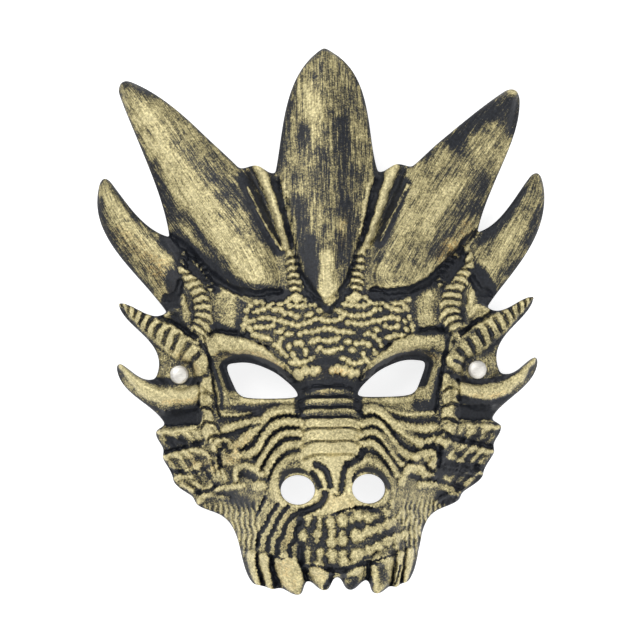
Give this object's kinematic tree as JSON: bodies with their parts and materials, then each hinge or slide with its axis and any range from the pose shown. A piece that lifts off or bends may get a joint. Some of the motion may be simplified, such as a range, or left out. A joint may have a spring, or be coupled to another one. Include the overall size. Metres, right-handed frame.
{
  "type": "dragon mask",
  "caption": "Moulded dragon face mask with a fan of blade-like horns, ribbed side spikes, cheek fins, open eyes and nostrils, a toothed muzzle, and strap rivets in the temples.",
  "frame": {"origin": "on the surface that the mask lies on, under the centre of its bounding box", "axes": "+Z is the front of the face, +Y is the crown, +X is the right of the picture when the mask is seen from the front"},
  "size_m": [0.2434, 0.295, 0.0739],
  "materials": {
    "gilt_foam": "moulded foam with a black skin, dry-brushed with antique gold so that grooves stay black",
    "nickel": "bright nickel-plated rivet, lightly scuffed"
  },
  "bodies": {
    "root": {"mask_shell": "gilt_foam", "rivet_left": "nickel", "rivet_right": "nickel"}
  },
  "joints": []
}
